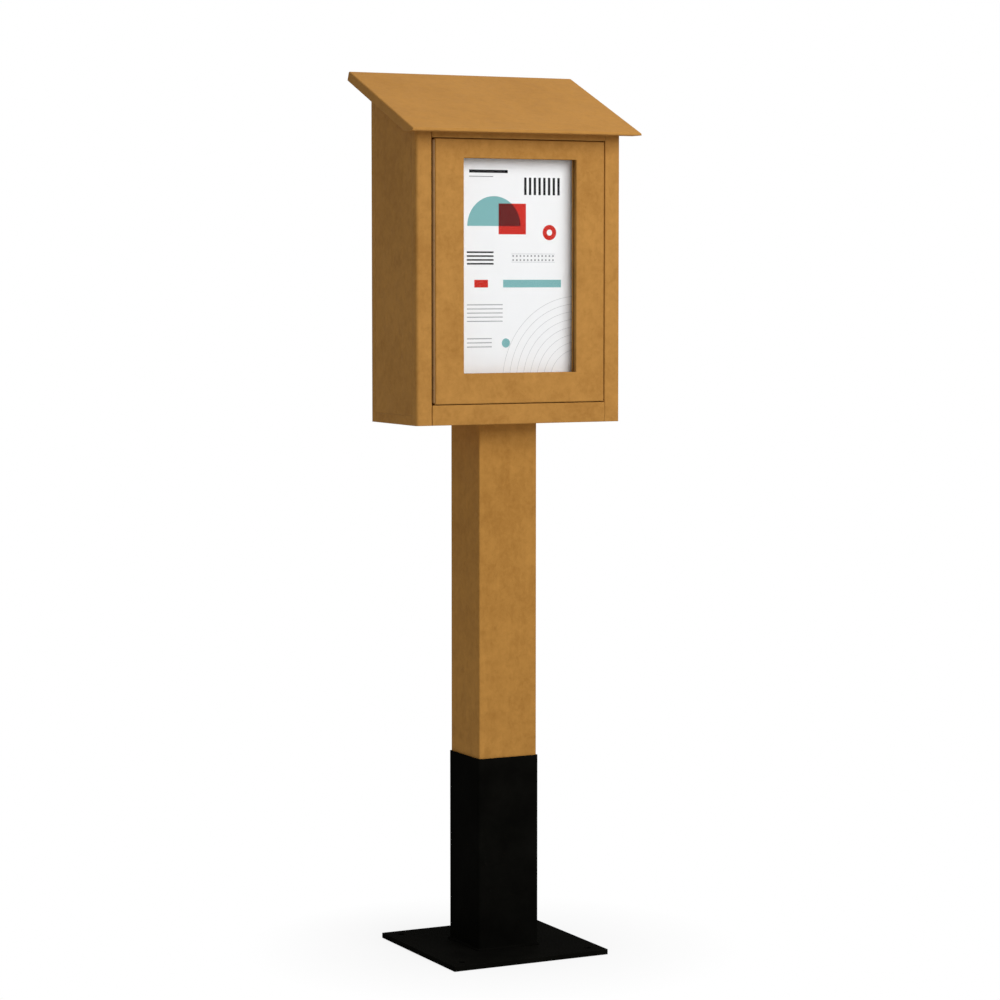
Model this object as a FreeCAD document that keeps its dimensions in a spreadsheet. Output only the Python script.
import FreeCAD, Part
import os
import re
import Sketcher

# Lockable notice board: a glazed cabinet with a pitched roof on a square post in a steel foot.
# Frame: +Z up, origin on the ground under the middle of the post. The door faces -Y and its
# hinge is on the left, at -X. Lengths are millimetres and angles degrees.

# Each size that can be set by itself: its cell's alias, its value and what it is
SIZES = [
    ("plate_side", 340, "side of the square base plate"),
    ("plate_thick", 10, "thickness of the base plate"),
    ("plate_round", 2, "radius of the base plate's corners"),
    ("anchor_pitch", 280, "distance between anchor holes, both ways"),
    ("anchor_hole", 14, "diameter of the anchor holes"),
    ("post_side", 127, "side of the square post"),
    ("post_round", 2.5, "radius of the post's long edges"),
    ("sleeve_wall", 3, "wall of the steel sleeve"),
    ("sleeve_fit", 0.25, "gap between post and sleeve on each side"),
    ("sleeve_top", 394, "height of the sleeve's top above the ground"),
    ("weld_leg", 5, "leg of the weld round the sleeve's foot"),
    ("weld_height", 4.5, "height of the weld's sloping face"),
    ("sleeve_shank", 8, "diameter of the screws through the sleeve"),
    ("sleeve_head", 14, "diameter of those screws' heads"),
    ("sleeve_cap", 4, "height of those screws' heads"),
    ("sleeve_bite", 30, "depth of those screws in the post"),
    ("cab_bottom", 1060, "height of the cabinet's underside above the ground"),
    ("cab_width", 446, "width of the cabinet"),
    ("cab_depth", 208, "depth of the cabinet"),
    ("cab_forward", 10, "how far the cabinet's middle stands before the post's"),
    ("back_height", 652, "height of the cabinet's back, up to the roof"),
    ("board", 19, "thickness of the cabinet's sheet"),
    ("corner_round", 6, "radius of the cabinet's upright front corners"),
    ("edge_round", 2, "radius of the smaller outer edges"),
    ("roof_slope", 22.62, "slope of the roof, 5 in 12"),
    ("roof_side", 26, "roof overhang at each side"),
    ("roof_front", 40, "roof overhang at the front, along the ground"),
    ("roof_back", 48, "roof overhang at the back, along the ground"),
    ("roof_nose", 5, "height of the roof's front edge, above its level soffit"),
    ("roof_round", 3, "radius of the roof's upper edges"),
    ("roof_cleat", 22, "depth of the strips that hold the roof"),
    ("cleat_gap", 1, "gap between those strips and the cabinet's front and back"),
    ("stile_width", 34, "width of the fixed uprights beside the door"),
    ("rail_height", 39, "height of the fixed rail under the door"),
    ("door_gap", 1.5, "gap between door and frame"),
    ("eave_gap", 12, "gap between the door's top and the roof's lowest edge"),
    ("window_side", 62.6, "door beside the window, on each side"),
    ("window_sill", 59, "door below the window"),
    ("window_head", 36.7, "door above the window"),
    ("glazing_lap", 10, "how far the glazing runs behind the window's edge"),
    ("gasket_thick", 1, "glazing gasket's thickness"),
    ("pane_thick", 3, "pane's thickness"),
    ("pane_fit", 1, "gap round the pane in its rebate"),
    ("bead_thick", 6, "thickness of the beads that hold the pane"),
    ("bead_width", 18, "width of the beads, from the window's edge"),
    ("bead_fit", 0.1, "gap round the beads in their rebate"),
    ("bead_screw_edge", 4, "distance of the glazing screws from the rebate's edge"),
    ("window_round", 1, "radius of the window's front edge"),
    ("stop_lap", 7, "how far the stop cleats reach behind the door"),
    ("door_play", 1, "gap between the door's edges and the stop cleats"),
    ("seal_width", 6, "width of the door seal"),
    ("seal_depth", 3, "depth of the seal's rebate"),
    ("seal_inset", 0.5, "distance of the seal from the door's edges"),
    ("seal_fit", 0.3, "gap between the closed door and its seal"),
    ("pin_board_thick", 13, "thickness of the pin board"),
    ("pin_board_gap", 3, "gap round the pin board"),
    ("board_rail", 40, "height of the rails that carry the pin board"),
    ("board_rail_inset", 20, "distance from the pin board's ends to its rails"),
    ("board_screw_inset", 12, "distance of the pin board's screws from its sides"),
    ("notch_gap", 6, "gap round the lock's cam and keeper in the pin board's notch"),
    ("sheet_lap_side", 17, "how far the notice sheet runs past the window on each side"),
    ("sheet_lap_end", 8, "how far the notice sheet runs past the window above and below"),
    ("sheet_thick", 0.3, "thickness of the notice sheet"),
    ("pin_inset", 6, "distance of the drawing pins from the sheet's edges"),
    ("pin_head", 9, "diameter of a drawing pin's head"),
    ("pin_cap", 1.8, "height of a drawing pin's head"),
    ("pin_shank", 1.2, "diameter of a drawing pin's shank"),
    ("pin_length", 8, "length of a drawing pin's shank"),
    ("head_plate", 105, "side of the plate that spreads the load on the cabinet's floor"),
    ("head_plate_thick", 5, "thickness of that plate"),
    ("coach_pitch", 70, "distance between the coach screws, both ways"),
    ("coach_shank", 10, "diameter of the coach screws"),
    ("coach_across", 17, "width of the coach screws' heads across flats"),
    ("coach_head", 7, "height of the coach screws' heads"),
    ("coach_grip", 75, "length of coach screw in the post"),
    ("washer_outer", 24, "diameter of the coach screws' washers"),
    ("washer_thick", 2, "thickness of those washers"),
    ("hinge_pin", 2.8, "diameter of the hinge pin"),
    ("hinge_fit", 0.05, "gap round the hinge pin"),
    ("hinge_leaf", 1.2, "thickness of the hinge's leaves"),
    ("hinge_width", 17, "width of a leaf, from the hinge's axis"),
    ("hinge_inset", 4, "distance from the door's ends to the hinge's ends"),
    ("hinge_pairs", 10, "knuckles on the door's leaf; the frame's leaf has one more"),
    ("hinge_proud", 0.5, "how far the hinge's axis stands before the door's face"),
    ("hinge_chamfer", 2.5, "chamfer on both edges beside the hinge"),
    ("knuckle_gap", 0.3, "gap between knuckles"),
    ("hinge_screws", 7, "screws in each leaf"),
    ("lock_height", 300, "height of the lock above the cabinet's underside"),
    ("lock_clear", 16, "distance of the lock's axis behind the stop cleats"),
    ("lock_barrel", 19, "diameter of the lock's barrel"),
    ("lock_flats", 16, "width of the barrel across its flats"),
    ("lock_length", 40, "length of the barrel behind its flange"),
    ("lock_flange", 25, "diameter of the lock's flange"),
    ("flange_thick", 3, "thickness of the lock's flange"),
    ("plug_dia", 13, "diameter of the plug that the key turns"),
    ("plug_fit", 0.05, "gap round the plug"),
    ("plug_recess", 0.5, "how far the plug's face lies below the flange's face"),
    ("tang_side", 7, "side of the plug's square tang"),
    ("keyway_width", 2, "width of the keyway"),
    ("keyway_height", 8, "height of the keyway"),
    ("keyway_depth", 12, "depth of the keyway"),
    ("nut_across", 24, "width of the lock's nut across flats"),
    ("nut_thick", 5, "thickness of the lock's nut"),
    ("cam_thick", 2.5, "thickness of the cam"),
    ("cam_width", 16, "width of the cam"),
    ("cam_gap", 0.3, "gap between the lock's barrel and the cam"),
    ("cam_reach", 30, "length of the cam from the lock's axis"),
    ("cam_bend", 10, "distance from the lock's axis to the cam's first bend"),
    ("cam_land", 17, "distance from the lock's axis to the cam's second bend"),
    ("cam_round", 4, "radius of the cam's corners"),
    ("cam_crank", 13, "how far the cam's tip is set off from its root"),
    ("cam_play", 0.5, "gap between the locked cam and the keeper"),
    ("keeper_thick", 2, "thickness of the keeper"),
    ("keeper_height", 32, "height of the keeper"),
    ("keeper_foot", 15, "width of the keeper's foot on the door"),
    ("keeper_web_gap", 12, "distance from the cam's tip to the keeper's web"),
    ("keeper_lap", 1, "how far the keeper's lip reaches past the cam's tip"),
    ("keeper_drop", 12, "how far the keeper reaches below the locked cam's end"),
    ("screw_shank", 5, "diameter of the cabinet's screws"),
    ("screw_head", 10, "diameter of those screws' heads"),
    ("screw_cap", 3, "height of those screws' heads"),
    ("screw_sink", 2.5, "depth of their countersunk heads, where they have them"),
    ("screw_bite", 14, "depth of those screws in the piece that they hold"),
    ("fine_shank", 3.2, "diameter of the screws in hinge, glazing, keeper and pin board"),
    ("fine_sink", 1.8, "depth of those screws' countersunk heads"),
    ("fine_bite", 9, "depth of those screws in the door or frame"),
    ("screw_fit", 0.05, "gap round a screw's shank in its hole"),
    ("spare", 1, "how far a blind hole runs past its screw's end, or a cut past an open face"),
]
NAMES = {name for name, value, meaning in SIZES}

doc = FreeCAD.newDocument("NoticeBoard")
sheet = doc.addObject("Spreadsheet::Sheet", "Sizes")
for row, (name, value, meaning) in enumerate(SIZES, start=1):
    sheet.set(f"A{row}", name)
    sheet.set(f"B{row}", str(value))
    sheet.set(f"C{row}", meaning)
    sheet.setAlias(f"B{row}", name)
doc.recompute()

# The way along its normal in which each origin plane faces
NORMAL = {"XY_Plane": 1, "XZ_Plane": -1, "YZ_Plane": 1}


# Sketches and features, all bound to the sheet

def cells(text):
    """Turn the sizes' names in an expression into references to their cells."""
    return re.sub(r"[a-z_]+", lambda m: f"Sizes.{m.group(0)}" if m.group(0) in NAMES else m.group(0), text)


def bind(thing, path, expression):
    thing.setExpression(path, cells(expression))


def origin_part(body, role):
    return next(part for part in body.Origin.OriginFeatures if part.Role == role)


def new_body(label, x="0", y="0", z="0", slope=None):
    """A sub-part with its own frame at x, y, z, turned about X by the slope if one is given."""
    body = doc.addObject("PartDesign::Body", label)
    body.Label = label
    if slope:
        body.Placement = FreeCAD.Placement(FreeCAD.Vector(), FreeCAD.Rotation(FreeCAD.Vector(1, 0, 0), 20))
        bind(body, "Placement.Rotation.Angle", f"{slope} * 1 deg")
    for axis, expression in zip("xyz", (x, y, z)):
        bind(body, f"Placement.Base.{axis}", expression)
    return body


def new_sketch(body, plane, at):
    """A sketch on one of the body's origin planes, moved along that plane's world axis to at."""
    sketch = body.newObject("Sketcher::SketchObject", f"{body.Name}_sketch")
    sketch.AttachmentSupport = [(origin_part(body, plane), "")]
    sketch.MapMode = "FlatFace"
    bind(sketch, "AttachmentOffset.Base.z", f"{NORMAL[plane]} * ({at})")
    return sketch


def fix_point(sketch, edge, end, x, y):
    """Hold one end of an edge, or a circle's middle, at x, y."""
    for kind, expression in (("DistanceX", x), ("DistanceY", y)):
        index = sketch.addConstraint(Sketcher.Constraint(kind, -1, 1, edge, end, 1.0))
        bind(sketch, f"Constraints[{index}]", expression)


def polygon(body, plane, at, points):
    """A closed outline of straight edges through the points."""
    sketch = new_sketch(body, plane, at)
    count = len(points)
    start = [FreeCAD.Rotation(FreeCAD.Vector(0, 0, 1), 360 * i / count).multVec(FreeCAD.Vector(50, 0, 0))
             for i in range(count)]
    for i in range(count):
        sketch.addGeometry(Part.LineSegment(start[i], start[(i + 1) % count]), False)
    for i in range(count):
        sketch.addConstraint(Sketcher.Constraint("Coincident", i, 2, (i + 1) % count, 1))
    for i, (x, y) in enumerate(points):
        fix_point(sketch, i, 1, x, y)
    return sketch


def rectangle(body, plane, at, left, right, bottom, top):
    return polygon(body, plane, at, [(left, bottom), (right, bottom), (right, top), (left, top)])


def circles(body, plane, at, centres, radius):
    """One circle of the same radius round each centre."""
    sketch = new_sketch(body, plane, at)
    for i, (x, y) in enumerate(centres):
        middle = FreeCAD.Vector(20 * i, 0, 0)
        sketch.addGeometry(Part.Circle(middle, FreeCAD.Vector(0, 0, 1), 5), False)
        fix_point(sketch, i, 3, x, y)
        index = sketch.addConstraint(Sketcher.Constraint("Radius", i, 5.0))
        bind(sketch, f"Constraints[{index}]", radius)
    return sketch


def pull(body, kind, sketch, length, toward=1, taper=0):
    """A pad or a pocket from the sketch, toward the plus or minus side of its world axis."""
    feature = body.newObject(kind, f"{body.Name}_{kind.split('::')[1].lower()}")
    feature.Profile = sketch
    bind(feature, "Length", length)
    feature.TaperAngle = taper
    plane = sketch.AttachmentSupport[0][0].Role
    along_normal = NORMAL[plane] * toward > 0
    feature.Reversed = along_normal if kind.endswith("Pocket") else not along_normal
    return feature


def pad(body, sketch, length, toward=1, taper=0):
    return pull(body, "PartDesign::Pad", sketch, length, toward, taper)


def pocket(body, sketch, length, toward=1, taper=0):
    return pull(body, "PartDesign::Pocket", sketch, length, toward, taper)


def box(body, x, y, z):
    """A rectangular block between pairs of x, y and z."""
    return pad(body, rectangle(body, "XY_Plane", z[0], *x, *y), f"({z[1]}) - ({z[0]})")


def dress(body, kind, size_name, size, choose):
    """A fillet or chamfer on each edge of the body's tip that choose accepts."""
    doc.recompute()
    base = body.Tip
    names = [f"Edge{i}" for i, edge in enumerate(base.Shape.Edges, start=1) if choose(edge)]
    if not names:
        raise RuntimeError(f"no edge of {body.Label} to dress")
    feature = body.newObject(kind, f"{body.Name}_{kind.split('::')[1].lower()}")
    feature.Base = (base, names)
    bind(feature, size_name, size)
    body.Tip = feature
    return feature


def fillet(body, radius, choose):
    return dress(body, "PartDesign::Fillet", "Radius", radius, choose)


def chamfer(body, size, choose):
    return dress(body, "PartDesign::Chamfer", "Size", size, choose)


def near(a, b):
    return abs(a - b) < 0.01


def runs_along(edge, axis):
    """Whether a straight edge runs along the axis named x, y or z."""
    box_of = edge.BoundBox
    spans = {"x": box_of.XLength, "y": box_of.YLength, "z": box_of.ZLength}
    return all((spans[name] > 0.01) == (name == axis) for name in spans)


def middle_of(edge):
    return edge.BoundBox.Center


def size_of(name):
    return float(sheet.get(name))


# Screws and their holes. A set of like screws is one sub-part made of separate solids.
# A head's sides lean in by HEAD_TAPER degrees, a countersunk head's by COUNTERSINK.
HEAD_TAPER = -12
COUNTERSINK = 45


def pan_screws(body, plane, at, toward, centres, length, shank="screw_shank", head="screw_head",
               cap="screw_cap"):
    """Screws whose heads sit on the plane at, with shanks that run toward the work."""
    pad(body, circles(body, plane, at, centres, f"{shank} / 2"), length, toward)
    pad(body, circles(body, plane, at, centres, f"{head} / 2"), cap, -toward, taper=HEAD_TAPER)


def flush_screws(body, plane, at, toward, centres, length, sink, shank="fine_shank"):
    """Countersunk screws: a head that narrows from the plane at over the depth sink, and a shank."""
    pad(body, circles(body, plane, at, centres, f"{shank} / 2 + {sink}"), sink, toward, taper=-COUNTERSINK)
    pad(body, circles(body, plane, at, centres, f"{shank} / 2"), length, toward)


def drill(body, plane, at, toward, centres, depth, shank="screw_shank"):
    pocket(body, circles(body, plane, at, centres, f"{shank} / 2 + screw_fit"), depth, toward)


def countersink(body, plane, at, toward, centres, sink, shank="fine_shank"):
    pocket(body, circles(body, plane, at, centres, f"{shank} / 2 + {sink} + screw_fit"), sink, toward,
           taper=-COUNTERSINK)


# Places that several pieces share, worked out from the sizes

HALF = "(cab_width / 2)"
CAB_Y = "(-cab_forward)"
FRONT = f"({CAB_Y} - cab_depth / 2)"
BACK = f"({CAB_Y} + cab_depth / 2)"
SIN = "sin(roof_slope * 1 deg)"
COS = "cos(roof_slope * 1 deg)"
TAN = "tan(roof_slope * 1 deg)"
INNER = f"({HALF} - board)"
FRAME_BACK = f"({FRONT} + board)"
STOP_BACK = f"({FRAME_BACK} + board)"
STILE = f"({HALF} - stile_width)"


def underside(y):
    """Height of the roof's underside above the cabinet's underside, at y."""
    return f"(back_height - ({BACK} - ({y})) * {TAN})"


# Door opening, door and window
BARREL = "(hinge_pin / 2 + hinge_fit + hinge_leaf)"
DOOR_LEFT = f"(-{STILE} + 2 * {BARREL})"
DOOR_RIGHT = f"({STILE} - door_gap)"
DOOR_BOTTOM = "(rail_height + door_gap)"
ROOF_LOWEST = f"(back_height + board / {COS} - (cab_depth + roof_front) * {TAN} - roof_nose)"
DOOR_TOP = f"({ROOF_LOWEST} - eave_gap)"
WINDOW_MIDDLE = f"(({DOOR_LEFT} + {DOOR_RIGHT}) / 2)"
WINDOW_X = (f"({DOOR_LEFT} + window_side)", f"({DOOR_RIGHT} - window_side)")
WINDOW_Z = (f"({DOOR_BOTTOM} + window_sill)", f"({DOOR_TOP} - window_head)")
PANE_BACK = f"({FRAME_BACK} - bead_thick)"
PANE_FRONT = f"({PANE_BACK} - pane_thick)"
LIP_BACK = f"({PANE_FRONT} - gasket_thick)"

# Stop cleats and pin board
STOP_X = (f"({DOOR_LEFT} + stop_lap)", f"({DOOR_RIGHT} - stop_lap)")
STOP_Z = (f"({DOOR_BOTTOM} + stop_lap)", f"({DOOR_TOP} - stop_lap)")
BOARD_X = (f"({STOP_X[0]} + pin_board_gap)", f"({STOP_X[1]} - pin_board_gap)")
BOARD_Z = (f"({STOP_Z[0]} + pin_board_gap)", f"({STOP_Z[1]} - pin_board_gap)")
BOARD_FRONT = f"({STOP_BACK} - pin_board_thick)"
RAIL_Z = [
    (f"({BOARD_Z[0]} + board_rail_inset)", f"({BOARD_Z[0]} + board_rail_inset + board_rail)"),
    (f"({BOARD_Z[1]} - board_rail_inset - board_rail)", f"({BOARD_Z[1]} - board_rail_inset)"),
]
NOTICE_Z = f"(({WINDOW_Z[0]} + {WINDOW_Z[1]}) / 2)"
SHEET_HALF = (f"(({WINDOW_X[1]} - {WINDOW_X[0]}) / 2 + sheet_lap_side)",
              f"(({WINDOW_Z[1]} - {WINDOW_Z[0]}) / 2 + sheet_lap_end)")

# Hinge
HINGE_X = f"(-{STILE} + {BARREL})"
HINGE_Y = f"({FRONT} - hinge_proud)"
HINGE_Z = f"({DOOR_BOTTOM} + hinge_inset)"
HINGE_LENGTH = f"({DOOR_TOP} - {DOOR_BOTTOM} - 2 * hinge_inset)"
KNUCKLE_PITCH = f"({HINGE_LENGTH} / (2 * hinge_pairs + 1))"
HINGE_SCREWS = int(size_of("hinge_screws"))

# Lock, keeper and the notch that they need in the pin board
LOCK_Y = f"({STOP_BACK} + lock_clear)"
CAM_ROOT = f"({HALF} - lock_length - cam_gap - cam_thick)"
CAM_TIP = f"({CAM_ROOT} - cam_crank)"
LIP_FRONT = f"({LOCK_Y} + cam_width / 2 + cam_play)"
WEB_X = f"({CAM_TIP} - keeper_web_gap)"
KEEPER_FOOT = "(lock_height - cam_reach - keeper_drop)"
KEEPER_Z = (KEEPER_FOOT, f"({KEEPER_FOOT} + keeper_height)")

# Post and sleeve
SLEEVE_INNER = "(post_side + 2 * sleeve_fit)"
SLEEVE_OUTER = f"({SLEEVE_INNER} + 2 * sleeve_wall)"


# Foot and post

def square(body, at, side):
    half = f"({side}) / 2"
    return rectangle(body, "XY_Plane", at, f"-{half}", half, f"-{half}", half)


def upright(edge):
    return runs_along(edge, "z")


def corners(pitch):
    """The four corners of a square of that side."""
    return [(f"{sx} * {pitch} / 2", f"{sy} * {pitch} / 2") for sx in (-1, 1) for sy in (-1, 1)]


def make_base_plate():
    body = new_body("base_plate")
    pad(body, square(body, "0", "plate_side"), "plate_thick")
    fillet(body, "plate_round", upright)
    pocket(body, circles(body, "XY_Plane", "0", corners("anchor_pitch"), "anchor_hole / 2"), "plate_thick")


SLEEVE_SCREWS = ("0.3", "0.8")


def sleeve_screw_points():
    """Places of the sleeve's screws on one face, as distance along it and height."""
    return [("0", f"(plate_thick + {share} * (sleeve_top - plate_thick))") for share in SLEEVE_SCREWS]


def make_sleeve():
    body = new_body("post_sleeve")
    pad(body, square(body, "plate_thick", SLEEVE_OUTER), "sleeve_top - plate_thick")
    fillet(body, "post_round + sleeve_wall", upright)
    pocket(body, square(body, "plate_thick", SLEEVE_INNER), "sleeve_top - plate_thick")
    inner = size_of("post_side") / 2 + size_of("sleeve_fit")
    fillet(body, "post_round", lambda edge: upright(edge) and near(abs(middle_of(edge).x), inner))
    for plane in ("XZ_Plane", "YZ_Plane"):
        drill(body, plane, "post_side / 2", 1, sleeve_screw_points(), "sleeve_fit + sleeve_wall + spare",
              shank="sleeve_shank")


def make_sleeve_weld():
    body = new_body("sleeve_weld")
    pad(body, square(body, "plate_thick", f"({SLEEVE_OUTER} + 2 * weld_leg)"), "weld_height",
        taper=-COUNTERSINK)
    pocket(body, square(body, "plate_thick", SLEEVE_OUTER), "weld_leg")
    inner = size_of("post_side") / 2 + size_of("sleeve_fit") + size_of("sleeve_wall")
    fillet(body, "post_round + sleeve_wall",
           lambda edge: upright(edge) and near(abs(middle_of(edge).x), inner))


def make_post():
    body = new_body("post")
    pad(body, square(body, "plate_thick", "post_side"), "cab_bottom - plate_thick")
    fillet(body, "post_round", upright)
    drill(body, "XY_Plane", "cab_bottom", -1, corners("coach_pitch"), "coach_grip + spare",
          shank="coach_shank")
    for plane in ("XZ_Plane", "YZ_Plane"):
        drill(body, plane, "post_side / 2", -1, sleeve_screw_points(), "sleeve_bite + spare",
              shank="sleeve_shank")


def make_sleeve_screws():
    body = new_body("sleeve_screws")
    for plane in ("XZ_Plane", "YZ_Plane"):
        pan_screws(body, plane, f"{SLEEVE_OUTER} / 2", -1, sleeve_screw_points(),
                   "sleeve_fit + sleeve_wall + sleeve_bite", shank="sleeve_shank",
                   head="sleeve_head", cap="sleeve_cap")


# Fixing of the cabinet on the post

def make_head_fixing():
    plate = new_body("head_plate", z="cab_bottom")
    pad(plate, square(plate, "board", "head_plate"), "head_plate_thick")
    fillet(plate, "edge_round", upright)
    drill(plate, "XY_Plane", "board", 1, corners("coach_pitch"), "head_plate_thick", shank="coach_shank")

    top = "(board + head_plate_thick)"
    washers = new_body("coach_washers", z="cab_bottom")
    pad(washers, circles(washers, "XY_Plane", top, corners("coach_pitch"), "washer_outer / 2"),
        "washer_thick")
    drill(washers, "XY_Plane", top, 1, corners("coach_pitch"), "washer_thick", shank="coach_shank")

    screws = new_body("coach_screws", z="cab_bottom")
    seat = f"({top} + washer_thick)"
    pad(screws, circles(screws, "XY_Plane", seat, corners("coach_pitch"), "coach_shank / 2"),
        f"{seat} + coach_grip", toward=-1)
    for x, y in corners("coach_pitch"):
        pad(screws, hexagon(screws, "XY_Plane", seat, x, y, "coach_across"), "coach_head")


def hexagon(body, plane, at, x, y, across):
    """A hexagon round x, y with the given width across its flats."""
    points = []
    for i in range(6):
        turn = f"{60 * i + 30} * 1 deg"
        reach = f"({across} / 2 / cos(30 * 1 deg))"
        points.append((f"({x}) + {reach} * cos({turn})", f"({y}) + {reach} * sin({turn})"))
    return polygon(body, plane, at, points)


# Cabinet shell

def profile_between(body, x, y0, y1, z0, top):
    """A block between two x, whose top follows the roof's underside from y0 to y1."""
    points = [(y0, z0), (y1, z0), (y1, top(y1)), (y0, top(y0))]
    return pad(body, polygon(body, "YZ_Plane", x[0], points), f"({x[1]}) - ({x[0]})")


SIDE_SCREW_Z = [f"(board + {share} * (back_height - board))"
                for share in ("0.08", "0.3", "0.52", "0.74", "0.92")]
FLOOR_SCREW_X = ["-0.25 * cab_width", "0.25 * cab_width"]
FLOOR_SCREW_Y = [f"({CAB_Y} + {share} * (cab_depth - 2 * board))" for share in ("-0.4", "0", "0.4")]


def back_screw_points():
    """Screws through the back panel into the sides' and the floor's edges, as x and z."""
    sides = [(f"{side} * ({HALF} - board / 2)", z) for side in (-1, 1) for z in SIDE_SCREW_Z]
    return sides + [(x, "board / 2") for x in FLOOR_SCREW_X]


def floor_screw_points():
    """Screws up through the floor into the sides, as x and y."""
    return [(f"{side} * ({HALF} - board / 2)", y) for side in (-1, 1) for y in FLOOR_SCREW_Y]


def make_floor():
    body = new_body("floor_panel", z="cab_bottom")
    box(body, (f"-{HALF}", HALF), (FRAME_BACK, f"{BACK} - board"), ("0", "board"))
    drill(body, "XY_Plane", "0", 1, corners("coach_pitch"), "board", shank="coach_shank")
    drill(body, "XY_Plane", "0", 1, floor_screw_points(), "board")
    countersink(body, "XY_Plane", "0", 1, floor_screw_points(), "screw_sink", shank="screw_shank")
    drill(body, "XZ_Plane", f"{BACK} - board", -1, back_screw_points()[-2:], "screw_bite + spare")


def make_back():
    body = new_body("back_panel", z="cab_bottom")
    profile_between(body, (f"-{HALF}", HALF), f"{BACK} - board", BACK, "0", underside)
    outer = size_of("cab_width") / 2
    deep = size_of("cab_depth") / 2 - size_of("cab_forward")
    fillet(body, "edge_round", lambda edge: upright(edge) and near(abs(middle_of(edge).x), outer)
           and near(middle_of(edge).y, deep))
    drill(body, "XZ_Plane", f"{BACK} - board", 1, back_screw_points(), "board")


def make_sides():
    for label, side in (("left_side_panel", -1), ("right_side_panel", 1)):
        body = new_body(label, z="cab_bottom")
        x = (f"-{HALF}", f"-{INNER}") if side < 0 else (INNER, HALF)
        profile_between(body, x, FRAME_BACK, f"{BACK} - board", "board", underside)
        near_side = [(x0, z0) for x0, z0 in back_screw_points() if x0.startswith(f"{side} ")]
        drill(body, "XZ_Plane", f"{BACK} - board", -1, near_side, "screw_bite + spare")
        below = [(x0, y0) for x0, y0 in floor_screw_points() if x0.startswith(f"{side} ")]
        drill(body, "XY_Plane", "board", 1, below, "screw_bite + spare")
        drill(body, "YZ_Plane", f"{side} * {INNER}", side, cleat_screw_points(), "screw_bite + spare")
        if side > 0:
            pocket(body, double_d(body, "YZ_Plane", INNER, "lock_barrel / 2 + plug_fit",
                                  "lock_flats / 2 + plug_fit", LOCK_Y, "lock_height"), "board")


def make_stiles():
    for label, side in (("left_stile", -1), ("right_stile", 1)):
        body = new_body(label, z="cab_bottom")
        x = (f"-{HALF}", f"-{STILE}") if side < 0 else (STILE, HALF)
        profile_between(body, x, FRONT, FRAME_BACK, "0", underside)
        outer = side * size_of("cab_width") / 2
        inner = outer - side * size_of("stile_width")
        front = -size_of("cab_depth") / 2 - size_of("cab_forward")

        def front_edge_at(place):
            return lambda edge: (runs_along(edge, "z") and near(middle_of(edge).x, place)
                                 and near(middle_of(edge).y, front))

        fillet(body, "corner_round", front_edge_at(outer))
        if side < 0:
            chamfer(body, "hinge_chamfer", front_edge_at(inner))
            screws = leaf_screw_points()
            pocket(body, circles(body, "YZ_Plane", f"-{STILE}", screws, "fine_shank / 2 + screw_fit"),
                   "fine_bite + spare", toward=-1)
        else:
            fillet(body, "edge_round", front_edge_at(inner))
        drill(body, "XZ_Plane", FRAME_BACK, -1, frame_screw_points(side), "screw_bite + spare")


def make_fixed_rails():
    bottom = new_body("bottom_rail", z="cab_bottom")
    box(bottom, (f"-{STILE}", STILE), (FRONT, FRAME_BACK), ("0", "rail_height"))
    front = -size_of("cab_depth") / 2 - size_of("cab_forward")
    high = size_of("rail_height")
    fillet(bottom, "edge_round", lambda edge: runs_along(edge, "x") and near(middle_of(edge).y, front)
           and near(middle_of(edge).z, high))
    drill(bottom, "XZ_Plane", FRAME_BACK, -1, rail_fixing_points("bottom"), "screw_bite + spare")

    top = new_body("top_rail", z="cab_bottom")
    profile_between(top, (f"-{STILE}", STILE), FRONT, FRAME_BACK, f"{DOOR_TOP} + door_gap", underside)
    drill(top, "XZ_Plane", FRAME_BACK, -1, rail_fixing_points("top"), "screw_bite + spare")


# The roof lies in its own frame: its underside is the XY plane, and Y runs up the slope from
# the cabinet's back top edge.
ROOF_SCREW_Y = [f"-{share} * cab_depth / {COS}" for share in ("0.25", "0.5", "0.72")]


def roof_frame(label):
    return new_body(label, y=BACK, z="cab_bottom + back_height", slope="roof_slope")


def roof_screw_points():
    return [(f"{side} * ({INNER} - board / 2)", y) for side in (-1, 1) for y in ROOF_SCREW_Y]


def make_roof():
    body = roof_frame("roof_panel")
    half = f"({HALF} + roof_side)"
    low = f"-(cab_depth + roof_front - board * {SIN}) / {COS}"
    high = f"(roof_back + board * {SIN}) / {COS}"
    nose = (f"{low} - roof_nose * {SIN}", f"board - roof_nose * {COS}")
    soffit = f"{nose[0]} + ({nose[1]}) / {TAN}"
    points = [(low, "board"), nose, (soffit, "0"), (high, "0"), (high, "board")]
    pad(body, polygon(body, "YZ_Plane", f"-{half}", points), f"2 * {half}")
    top = size_of("board")
    fillet(body, "roof_round", lambda edge: near(edge.BoundBox.ZMin, top) and near(edge.BoundBox.ZMax, top))
    drill(body, "XY_Plane", "0", 1, roof_screw_points(), "screw_bite + spare")

    for label, side in (("left_roof_cleat", -1), ("right_roof_cleat", 1)):
        cleat = roof_frame(label)
        x = (f"-{INNER}", f"-({INNER} - board)") if side < 0 else (f"({INNER} - board)", INNER)
        y = (f"-(cab_depth - 2 * board - cleat_gap) / {COS}",
             f"-(board + cleat_gap + roof_cleat * {SIN}) / {COS}")
        box(cleat, x, y, ("-roof_cleat", "0"))
        own = [(x0, y0) for x0, y0 in roof_screw_points() if x0.startswith(f"{side} ")]
        drill(cleat, "XY_Plane", "-roof_cleat", 1, own, "roof_cleat")


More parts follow.
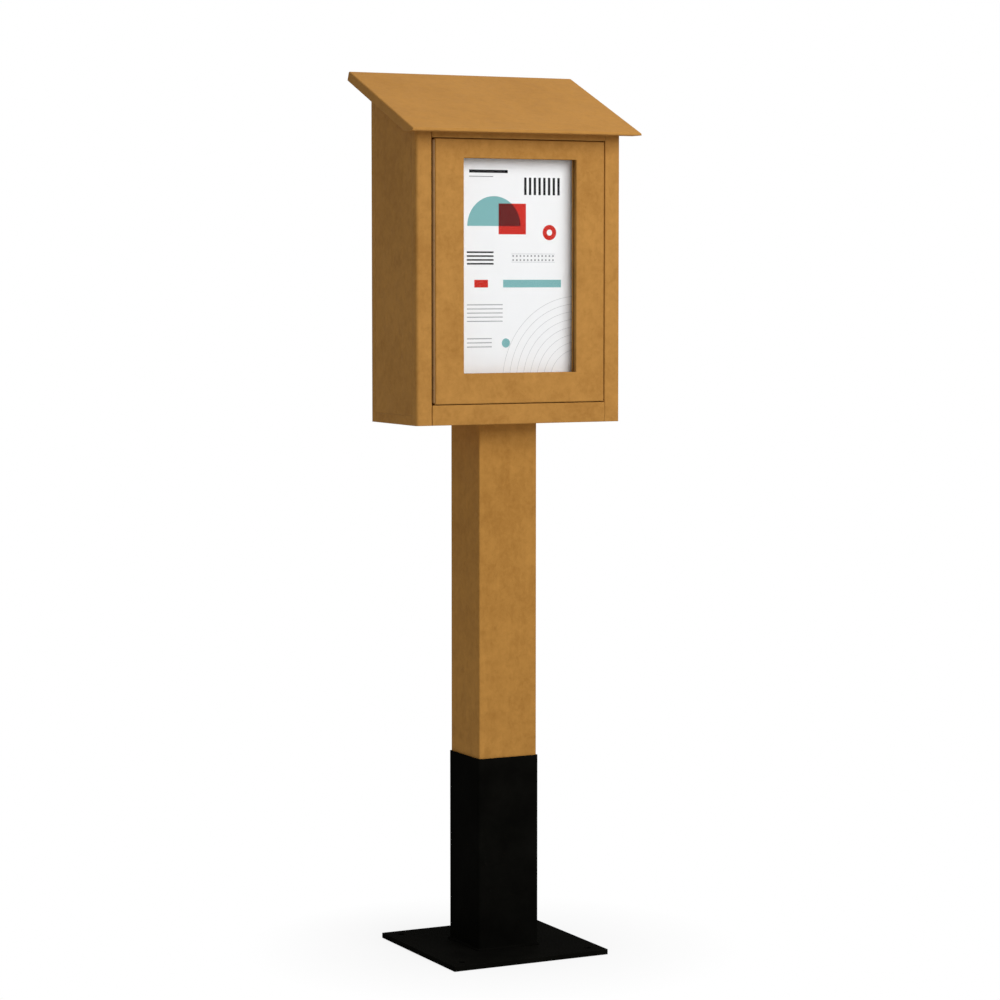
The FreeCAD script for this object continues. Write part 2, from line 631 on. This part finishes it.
def make_cabinet_screws():
    back = new_body("back_panel_screws", z="cab_bottom")
    pan_screws(back, "XZ_Plane", BACK, -1, back_screw_points(), "board + screw_bite")
    below = new_body("floor_screws", z="cab_bottom")
    flush_screws(below, "XY_Plane", "0", 1, floor_screw_points(), "board + screw_bite", "screw_sink",
                 shank="screw_shank")
    above = roof_frame("roof_screws")
    pan_screws(above, "XY_Plane", "-roof_cleat", 1, roof_screw_points(), "roof_cleat + screw_bite")


# Stop cleats, seal and pin board

# The stiles' screws stand between the hinge's screws
FRAME_SCREW_Z = [f"({HINGE_Z} + {HINGE_LENGTH} * {i} / {HINGE_SCREWS})" for i in (0, 3, HINGE_SCREWS)]
CLEAT_SCREW_Z = [f"(board + {share} * ({DOOR_TOP} - board))" for share in ("0.25", "0.7")]


def frame_screw_points(side):
    """Screws through one side's stop cleat into its stile, as x and z."""
    return [(f"{side} * ({STILE} + {INNER}) / 2", z) for z in FRAME_SCREW_Z]


def rail_fixing_points(name):
    """Screws through the bottom or top stop cleat into the fixed rail before it, as x and z."""
    z = ("((board + rail_height) / 2)" if name == "bottom"
         else f"(({DOOR_TOP} + door_gap + {underside(FRONT)}) / 2)")
    return [(f"{share} * cab_width", z) for share in ("-0.25", "0.25")]


def rail_screw_points(side):
    """Screws through one end of both board rails into a stop cleat, as x and z."""
    return [(f"{side} * ({STILE} + {INNER}) / 2", f"(({z0} + {z1}) / 2)") for z0, z1 in RAIL_Z]


def stop_face(side):
    """The face of one side's stop cleat that looks at the other's, as x."""
    return STOP_X[0] if side < 0 else STOP_X[1]


def cleat_screw_points():
    """Screws through a side's stop cleat into its side panel, as y and z."""
    return [(f"(({FRAME_BACK} + {STOP_BACK}) / 2)", z) for z in CLEAT_SCREW_Z]


def make_stop_cleats():
    seal_front = f"({FRAME_BACK} + seal_depth)"
    for label, side in (("left_stop_cleat", -1), ("right_stop_cleat", 1)):
        body = new_body(label, z="cab_bottom")
        x = (f"-{INNER}", STOP_X[0]) if side < 0 else (STOP_X[1], INNER)
        profile_between(body, x, FRAME_BACK, STOP_BACK, "board", underside)
        lap = ((f"{DOOR_LEFT} - door_play", STOP_X[0]) if side < 0
               else (STOP_X[1], f"{DOOR_RIGHT} + door_play"))
        pocket(body, rectangle(body, "XY_Plane", "board", *lap, f"{FRAME_BACK} - spare", seal_front),
               "back_height")
        drill(body, "XZ_Plane", STOP_BACK, -1, frame_screw_points(side), "board")
        drill(body, "XZ_Plane", STOP_BACK, -1, rail_screw_points(side), "screw_bite + spare")
        inward, points = stop_face(side), cleat_screw_points()
        drill(body, "YZ_Plane", inward, side, points, f"{INNER} - {side} * {inward}")
        countersink(body, "YZ_Plane", inward, side, points, "screw_sink", shank="screw_shank")

    low = new_body("bottom_stop_cleat", z="cab_bottom")
    points = [(FRAME_BACK, "board"), (STOP_BACK, "board"), (STOP_BACK, STOP_Z[0]), (seal_front, STOP_Z[0]),
              (seal_front, f"{DOOR_BOTTOM} - door_play"), (FRAME_BACK, f"{DOOR_BOTTOM} - door_play")]
    pad(low, polygon(low, "YZ_Plane", STOP_X[0], points), f"{STOP_X[1]} - {STOP_X[0]}")
    drill(low, "XZ_Plane", STOP_BACK, -1, rail_fixing_points("bottom"), "board")

    high = new_body("top_stop_cleat", z="cab_bottom")
    points = [(FRAME_BACK, f"{DOOR_TOP} + door_play"), (seal_front, f"{DOOR_TOP} + door_play"),
              (seal_front, STOP_Z[1]), (STOP_BACK, STOP_Z[1]),
              (STOP_BACK, underside(STOP_BACK)), (FRAME_BACK, underside(FRAME_BACK))]
    pad(high, polygon(high, "YZ_Plane", STOP_X[0], points), f"{STOP_X[1]} - {STOP_X[0]}")
    drill(high, "XZ_Plane", STOP_BACK, -1, rail_fixing_points("top"), "board")


def make_frame_screws():
    """Screws from inside that hold the stiles and rails, the stop cleats and the board's rails."""
    frame = new_body("frame_screws", z="cab_bottom")
    places = [*frame_screw_points(-1), *frame_screw_points(1), *rail_fixing_points("bottom"),
              *rail_fixing_points("top")]
    pan_screws(frame, "XZ_Plane", STOP_BACK, -1, places, "board + screw_bite")

    cleat = new_body("cleat_screws", z="cab_bottom")
    for side in (-1, 1):
        flush_screws(cleat, "YZ_Plane", stop_face(side), side, cleat_screw_points(),
                     f"{INNER} - {side} * {stop_face(side)} + screw_bite", "screw_sink", shank="screw_shank")

    rail = new_body("rail_screws", z="cab_bottom")
    pan_screws(rail, "XZ_Plane", f"{STOP_BACK} + board", -1, [*rail_screw_points(-1), *rail_screw_points(1)],
               "board + screw_bite")


def ring(body, plane, at, length, outer, inner):
    """A flat rectangular ring between two outlines, each given as left, right, bottom, top."""
    pad(body, rectangle(body, plane, at, *outer), length)
    pocket(body, rectangle(body, plane, at, *inner), length)


def inset(amount):
    """The door's outline drawn in by amount."""
    return (f"{DOOR_LEFT} + {amount}", f"{DOOR_RIGHT} - {amount}",
            f"{DOOR_BOTTOM} + {amount}", f"{DOOR_TOP} - {amount}")


def make_seal():
    body = new_body("door_seal", z="cab_bottom")
    ring(body, "XZ_Plane", f"{FRAME_BACK} + seal_fit", "seal_depth - seal_fit",
         inset("seal_inset"), inset("(seal_inset + seal_width)"))


def board_screw_points():
    """Flush screws beside the notice into the pin board's rails, as x and z."""
    places = [f"({BOARD_X[0]} + board_screw_inset)", f"({BOARD_X[1]} - board_screw_inset)"]
    return [(x, f"(({z0} + {z1}) / 2)") for z0, z1 in RAIL_Z for x in places]


def make_pin_board():
    board = new_body("pin_board", z="cab_bottom")
    pad(board, rectangle(board, "XZ_Plane", BOARD_FRONT, *BOARD_X, *BOARD_Z), "pin_board_thick")
    notch = (f"({WEB_X} - notch_gap)", f"({BOARD_X[1]} + spare)",
             f"({KEEPER_Z[0]} - notch_gap)", "(lock_height + cam_width / 2 + notch_gap)")
    pocket(board, rectangle(board, "XZ_Plane", BOARD_FRONT, *notch), "pin_board_thick")
    drill(board, "XZ_Plane", BOARD_FRONT, 1, board_screw_points(), "pin_board_thick", shank="fine_shank")
    countersink(board, "XZ_Plane", BOARD_FRONT, 1, board_screw_points(), "fine_sink")
    pins = [(f"{WINDOW_MIDDLE} + {x}", f"{NOTICE_Z} + {z}") for x, z in PIN_PLACES]
    drill(board, "XZ_Plane", BOARD_FRONT, 1, pins, "pin_length", shank="pin_shank")
    for label, (z0, z1) in zip(("lower_board_rail", "upper_board_rail"), RAIL_Z):
        rail = new_body(label, z="cab_bottom")
        box(rail, (f"-{INNER}", INNER), (STOP_BACK, f"{STOP_BACK} + board"), (z0, z1))
        own = board_screw_points()[:2] if z0 == RAIL_Z[0][0] else board_screw_points()[2:]
        drill(rail, "XZ_Plane", STOP_BACK, 1, own, "fine_bite + spare", shank="fine_shank")
        ends = [point for side in (-1, 1) for point in rail_screw_points(side)]
        drill(rail, "XZ_Plane", STOP_BACK, 1, ends[0::2] if z0 == RAIL_Z[0][0] else ends[1::2], "board")
    screws = new_body("board_screws", z="cab_bottom")
    flush_screws(screws, "XZ_Plane", BOARD_FRONT, 1, board_screw_points(), "pin_board_thick + fine_bite",
                 "fine_sink")


PIN_PLACES = [(f"{sx} * ({SHEET_HALF[0]} - pin_inset)", f"{sz} * ({SHEET_HALF[1]} - pin_inset)")
              for sx in (-1, 1) for sz in (-1, 1)]


def make_notice():
    notice = new_body("notice_sheet", x=WINDOW_MIDDLE, z=f"cab_bottom + {NOTICE_Z}")
    outline = (f"-{SHEET_HALF[0]}", SHEET_HALF[0], f"-{SHEET_HALF[1]}", SHEET_HALF[1])
    pad(notice, rectangle(notice, "XZ_Plane", f"{BOARD_FRONT} - sheet_thick", *outline), "sheet_thick")
    drill(notice, "XZ_Plane", f"{BOARD_FRONT} - sheet_thick", 1, PIN_PLACES, "sheet_thick",
          shank="pin_shank")
    pins = new_body("drawing_pins", x=WINDOW_MIDDLE, z=f"cab_bottom + {NOTICE_Z}")
    seat = f"({BOARD_FRONT} - sheet_thick)"
    pad(pins, circles(pins, "XZ_Plane", seat, PIN_PLACES, "pin_shank / 2"), "pin_length")
    pad(pins, circles(pins, "XZ_Plane", seat, PIN_PLACES, "pin_head / 2"), "pin_cap", toward=-1,
        taper=3 * HEAD_TAPER)


# Door

def round_window(amount):
    """The window's outline widened by amount, as left, right, bottom and top."""
    return (f"{WINDOW_X[0]} - {amount}", f"{WINDOW_X[1]} + {amount}",
            f"{WINDOW_Z[0]} - {amount}", f"{WINDOW_Z[1]} + {amount}")


def make_door():
    body = new_body("door_panel", z="cab_bottom")
    box(body, (DOOR_LEFT, DOOR_RIGHT), (FRONT, FRAME_BACK), (DOOR_BOTTOM, DOOR_TOP))
    pocket(body, rectangle(body, "XZ_Plane", FRONT, *round_window("0")), "board")
    pocket(body, rectangle(body, "XZ_Plane", LIP_BACK, *round_window("glazing_lap")),
           f"{FRAME_BACK} - {LIP_BACK}")
    pocket(body, rectangle(body, "XZ_Plane", PANE_BACK, *round_window("bead_width")), "bead_thick")
    doc.recompute()
    solid = body.Shape.BoundBox
    front = solid.YMin
    low = solid.ZMin - size_of("cab_bottom")
    high = solid.ZMax - size_of("cab_bottom")

    def on_front(edge):
        return near(edge.BoundBox.YMin, front) and near(edge.BoundBox.YMax, front)

    def at_hinge(edge):
        return on_front(edge) and near(edge.BoundBox.XMax, solid.XMin)

    def at_rim(edge):
        middle = middle_of(edge)
        return on_front(edge) and (near(middle.x, solid.XMax) or near(middle.z, low) or near(middle.z, high))

    def at_window(edge):
        middle = middle_of(edge)
        return (on_front(edge) and solid.XMin + 5 < middle.x < solid.XMax - 5
                and low + 5 < middle.z < high - 5)

    chamfer(body, "hinge_chamfer", at_hinge)
    fillet(body, "edge_round", at_rim)
    fillet(body, "window_round", at_window)
    pocket(body, circles(body, "YZ_Plane", DOOR_LEFT, leaf_screw_points(), "fine_shank / 2 + screw_fit"),
           "fine_bite + spare")
    drill(body, "XZ_Plane", FRAME_BACK, -1, keeper_screw_points(), "fine_bite + spare", shank="fine_shank")
    drill(body, "XZ_Plane", PANE_BACK, -1, all_bead_screw_points(), "fine_bite + spare", shank="fine_shank")


BEADS = {
    "bottom": (f"{WINDOW_X[0]} - bead_width + bead_fit", f"{WINDOW_X[1]} + bead_width - bead_fit",
               f"{WINDOW_Z[0]} - bead_width + bead_fit", WINDOW_Z[0]),
    "top": (f"{WINDOW_X[0]} - bead_width + bead_fit", f"{WINDOW_X[1]} + bead_width - bead_fit",
            WINDOW_Z[1], f"{WINDOW_Z[1]} + bead_width - bead_fit"),
    "left": (f"{WINDOW_X[0]} - bead_width + bead_fit", WINDOW_X[0], *WINDOW_Z),
    "right": (WINDOW_X[1], f"{WINDOW_X[1]} + bead_width - bead_fit", *WINDOW_Z),
}
BEAD_SCREWS = ("0.08", "0.5", "0.92")


def bead_screw_points(name):
    """Screws of one glazing bead, outside the pane, as x and z."""
    x0, x1 = WINDOW_X
    z0, z1 = WINDOW_Z
    out = "(bead_width - bead_screw_edge)"
    if name in ("bottom", "top"):
        z = f"({z0} - {out})" if name == "bottom" else f"({z1} + {out})"
        return [(f"({x0} + {share} * ({x1} - {x0}))", z) for share in BEAD_SCREWS]
    x = f"({x0} - {out})" if name == "left" else f"({x1} + {out})"
    return [(x, f"({z0} + {share} * ({z1} - {z0}))") for share in BEAD_SCREWS]


def all_bead_screw_points():
    return [point for name in BEADS for point in bead_screw_points(name)]


def make_glazing():
    gasket = new_body("glazing_gasket", z="cab_bottom")
    ring(gasket, "XZ_Plane", LIP_BACK, "gasket_thick",
         round_window("(glazing_lap - pane_fit)"), round_window("0"))

    pane = new_body("window_pane", z="cab_bottom")
    pad(pane, rectangle(pane, "XZ_Plane", PANE_FRONT, *round_window("(glazing_lap - pane_fit)")),
        "pane_thick")

    for name, outline in BEADS.items():
        bead = new_body(f"{name}_glazing_bead", z="cab_bottom")
        pad(bead, rectangle(bead, "XZ_Plane", PANE_BACK, *outline), "bead_thick")
        drill(bead, "XZ_Plane", PANE_BACK, 1, bead_screw_points(name), "bead_thick", shank="fine_shank")
        countersink(bead, "XZ_Plane", FRAME_BACK, -1, bead_screw_points(name), "fine_sink")

    screws = new_body("glazing_screws", z="cab_bottom")
    flush_screws(screws, "XZ_Plane", FRAME_BACK, -1, all_bead_screw_points(), "bead_thick + fine_bite",
                 "fine_sink")


# Hinge. Both leaves and the pin lie in a frame on the hinge's axis, at the hinge's foot.

def leaf_screw_points():
    """Screws through a leaf, as y and z in the cabinet's frame."""
    y = f"({HINGE_Y} + ({BARREL} + hinge_width) / 2)"
    return [(y, f"({HINGE_Z} + {HINGE_LENGTH} * ({i} + 0.5) / {HINGE_SCREWS})") for i in range(HINGE_SCREWS)]


def make_leaf(label, side, first, count):
    """A hinge leaf on one side of the axis, with its own knuckles on every second place."""
    body = new_body(label, x=HINGE_X, y=HINGE_Y, z=f"cab_bottom + {HINGE_Z}")
    faces = ((f"-{BARREL}", f"-({BARREL} - hinge_leaf)") if side < 0
             else (f"({BARREL} - hinge_leaf)", BARREL))
    box(body, faces, (f"{BARREL} + knuckle_gap", "hinge_width"), ("0", HINGE_LENGTH))
    start = f"({first} * {KNUCKLE_PITCH} + knuckle_gap / 2)"
    tall = f"({KNUCKLE_PITCH} - knuckle_gap)"
    reach = f"{BARREL} + knuckle_gap + hinge_leaf"
    web = pad(body, rectangle(body, "XY_Plane", start, *faces, "0", reach), tall)
    roll = pad(body, circles(body, "XY_Plane", start, [("0", "0")], BARREL), tall)
    pattern = body.newObject("PartDesign::LinearPattern", f"{label}_knuckles")
    pattern.Originals = [web, roll]
    pattern.Direction = (origin_part(body, "Z_Axis"), [""])
    pattern.Mode = "Spacing"
    bind(pattern, "Offset", f"2 * {KNUCKLE_PITCH}")
    bind(pattern, "Occurrences", count)
    body.Tip = pattern
    pocket(body, circles(body, "XY_Plane", "0", [("0", "0")], "hinge_pin / 2 + hinge_fit"), HINGE_LENGTH)
    inward = [(f"{y} - {HINGE_Y}", f"{z} - {HINGE_Z}") for y, z in leaf_screw_points()]
    countersink(body, "YZ_Plane", f"{side} * ({BARREL} - hinge_leaf)", side, inward, "hinge_leaf")


def make_hinge():
    make_leaf("hinge_frame_leaf", -1, 0, "hinge_pairs + 1")
    make_leaf("hinge_door_leaf", 1, 1, "hinge_pairs")

    pin = new_body("hinge_pin", x=HINGE_X, y=HINGE_Y, z=f"cab_bottom + {HINGE_Z}")
    pad(pin, circles(pin, "XY_Plane", "knuckle_gap / 2", [("0", "0")], "hinge_pin / 2"),
        f"{HINGE_LENGTH} - knuckle_gap")
    button = "(hinge_pin / 2 + hinge_leaf / 2)"
    for end, toward in (("knuckle_gap / 2", -1), (f"{HINGE_LENGTH} - knuckle_gap / 2", 1)):
        pad(pin, circles(pin, "XY_Plane", end, [("0", "0")], button), "hinge_leaf", toward)

    for label, side in (("hinge_frame_screws", -1), ("hinge_door_screws", 1)):
        screws = new_body(label, x=HINGE_X, z="cab_bottom")
        flush_screws(screws, "YZ_Plane", f"{side} * ({BARREL} - hinge_leaf)", side, leaf_screw_points(),
                     "hinge_leaf + fine_bite", "hinge_leaf")


# Lock. Its pieces lie in a frame on the lock's axis, on the outer face of the right side panel.

def double_d(body, plane, at, radius, half_flat, x="0", y="0"):
    """A circle with two parallel flats, above and below. The sketch itself is moved to x, y."""
    sketch = new_sketch(body, plane, at)
    bind(sketch, "AttachmentOffset.Base.x", x)
    bind(sketch, "AttachmentOffset.Base.y", y)
    turn = FreeCAD.Vector(0, 0, 1)
    for low, high in ((-0.8, 0.8), (2.34, 3.94)):
        circle = Part.Circle(FreeCAD.Vector(), turn, 8)
        sketch.addGeometry(Part.ArcOfCircle(circle, low, high), False)
    ends = [sketch.getPoint(0, 2), sketch.getPoint(1, 1), sketch.getPoint(1, 2), sketch.getPoint(0, 1)]
    sketch.addGeometry(Part.LineSegment(ends[0], ends[1]), False)
    sketch.addGeometry(Part.LineSegment(ends[2], ends[3]), False)
    for pair in ((0, 2, 2, 1), (2, 2, 1, 1), (1, 2, 3, 1), (3, 2, 0, 1), (0, 3, 1, 3)):
        sketch.addConstraint(Sketcher.Constraint("Coincident", *pair))
    for line in (2, 3):
        sketch.addConstraint(Sketcher.Constraint("Horizontal", line))
    fix_point(sketch, 0, 3, "0", "0")
    index = sketch.addConstraint(Sketcher.Constraint("Radius", 0, 8.0))
    bind(sketch, f"Constraints[{index}]", radius)
    for line, sign in ((2, 1), (3, -1)):
        index = sketch.addConstraint(Sketcher.Constraint("DistanceY", -1, 1, line, 1, 6.0 * sign))
        bind(sketch, f"Constraints[{index}]", f"{sign} * ({half_flat})")
    return sketch


def lock_body(label):
    return new_body(label, x=HALF, y=LOCK_Y, z="cab_bottom + lock_height")


def make_lock():
    axis = [("0", "0")]
    housing = lock_body("lock_housing")
    pad(housing, double_d(housing, "YZ_Plane", "0", "lock_barrel / 2", "lock_flats / 2"), "lock_length", -1)
    pad(housing, circles(housing, "YZ_Plane", "0", axis, "lock_flange / 2"), "flange_thick",
        taper=2 * HEAD_TAPER)
    pocket(housing, circles(housing, "YZ_Plane", "-lock_length", axis, "plug_dia / 2 + plug_fit"),
           "lock_length + flange_thick")

    nut = lock_body("lock_nut")
    pad(nut, hexagon(nut, "YZ_Plane", "-board", "0", "0", "nut_across"), "nut_thick", -1)
    hole = ("lock_barrel / 2 + plug_fit", "lock_flats / 2 + plug_fit")
    pocket(nut, double_d(nut, "YZ_Plane", "-board", *hole), "nut_thick", -1)

    plug = lock_body("lock_plug")
    end = "(lock_length + cam_gap)"
    pad(plug, circles(plug, "YZ_Plane", f"-{end}", axis, "plug_dia / 2"),
        f"{end} + flange_thick - plug_recess")
    pad(plug, tang(plug, f"-{end} - cam_thick", "(tang_side / 2)"), "cam_thick")
    keyway = ("-keyway_width / 2", "keyway_width / 2", "-keyway_height / 2", "keyway_height / 2")
    pocket(plug, rectangle(plug, "YZ_Plane", "flange_thick", *keyway), "keyway_depth", -1)

    cam = lock_body("lock_cam")
    root = f"(-{end} - cam_thick)"
    tip = f"({root} - cam_crank)"
    heel = "(cam_width / 2)"
    points = [(root, heel), (root, "-cam_bend"), (tip, "-cam_land"), (tip, "-cam_reach"),
              (f"{tip} + cam_thick", "-cam_reach"), (f"{tip} + cam_thick", "-cam_land"),
              (f"{root} + cam_thick", "-cam_bend"), (f"{root} + cam_thick", heel)]
    pad(cam, polygon(cam, "XY_Plane", "-cam_width / 2", points), "cam_width")
    pocket(cam, tang(cam, root, "(tang_side / 2 + plug_fit)"), "cam_thick")
    half = size_of("cam_width") / 2
    reach = size_of("cam_reach")
    fillet(cam, "cam_round", lambda edge: runs_along(edge, "x") and near(abs(middle_of(edge).z), half)
           and (near(middle_of(edge).y, -reach) or near(middle_of(edge).y, half)))

    screw = lock_body("cam_screw")
    pan_screws(screw, "YZ_Plane", f"-{end} - cam_thick", 1, axis, "cam_thick + fine_bite")
    drill(plug, "YZ_Plane", f"-{end} - cam_thick", 1, axis, "cam_thick + fine_bite + spare")


def tang(body, at, half):
    """The square outline that keys the cam to the plug."""
    return rectangle(body, "YZ_Plane", at, f"-{half}", half, f"-{half}", half)


def keeper_screw_points():
    """Flush screws through the keeper's foot into the door's back, as x and z."""
    x = f"(({WEB_X} + keeper_thick + {WEB_X} + keeper_foot) / 2)"
    return [(x, f"({KEEPER_Z[0]} + {share} * keeper_height)") for share in ("0.25", "0.75")]


def make_keeper():
    body = new_body("keeper", z="cab_bottom")
    inside = f"({WEB_X} + keeper_thick)"
    foot_end = f"({WEB_X} + keeper_foot)"
    lip_end = f"({CAM_TIP} + cam_thick + keeper_lap)"
    points = [(WEB_X, FRAME_BACK), (foot_end, FRAME_BACK), (foot_end, f"{FRAME_BACK} + keeper_thick"),
              (inside, f"{FRAME_BACK} + keeper_thick"), (inside, LIP_FRONT), (lip_end, LIP_FRONT),
              (lip_end, f"{LIP_FRONT} + keeper_thick"), (WEB_X, f"{LIP_FRONT} + keeper_thick")]
    pad(body, polygon(body, "XY_Plane", KEEPER_Z[0], points), "keeper_height")
    drill(body, "XZ_Plane", FRAME_BACK, 1, keeper_screw_points(), "keeper_thick", shank="fine_shank")
    face = f"{FRAME_BACK} + keeper_thick"
    countersink(body, "XZ_Plane", face, -1, keeper_screw_points(), "fine_sink")
    screws = new_body("keeper_screws", z="cab_bottom")
    flush_screws(screws, "XZ_Plane", face, -1, keeper_screw_points(), "keeper_thick + fine_bite",
                 "fine_sink")


# Building, testing and writing the pieces

def make_all():
    make_base_plate()
    make_sleeve()
    make_sleeve_weld()
    make_post()
    make_sleeve_screws()
    make_head_fixing()
    make_floor()
    make_back()
    make_sides()
    make_stiles()
    make_fixed_rails()
    make_roof()
    make_cabinet_screws()
    make_stop_cleats()
    make_frame_screws()
    make_seal()
    make_pin_board()
    make_notice()
    make_door()
    make_glazing()
    make_hinge()
    make_lock()
    make_keeper()
    doc.recompute()


def test_all():
    """Stop if any object failed, any cut removed nothing or any piece isn't a sound solid."""
    for thing in doc.Objects:
        if "Invalid" in thing.State or "Error" in thing.State:
            raise RuntimeError(f"{thing.Label} failed: {thing.State}")
        if thing.TypeId == "PartDesign::Pocket":
            if thing.Shape.Volume > thing.BaseFeature.Shape.Volume - 1e-3:
                raise RuntimeError(f"{thing.Label} cuts nothing")
    for body in sub_parts():
        if body.Shape.isNull() or not body.Shape.isValid() or not body.Shape.Solids:
            raise RuntimeError(f"{body.Label} isn't a sound solid")


def sub_parts():
    return [thing for thing in doc.Objects if thing.TypeId == "PartDesign::Body"]


def write_all():
    os.makedirs("parts", exist_ok=True)
    for body in sub_parts():
        body.Shape.exportStep(os.path.join("parts", f"{body.Label}.step"))
        print(f"{body.Label}: {len(body.Shape.Solids)} solids, {body.Shape.Volume / 1000:.1f} cm3")


make_all()
test_all()
write_all()
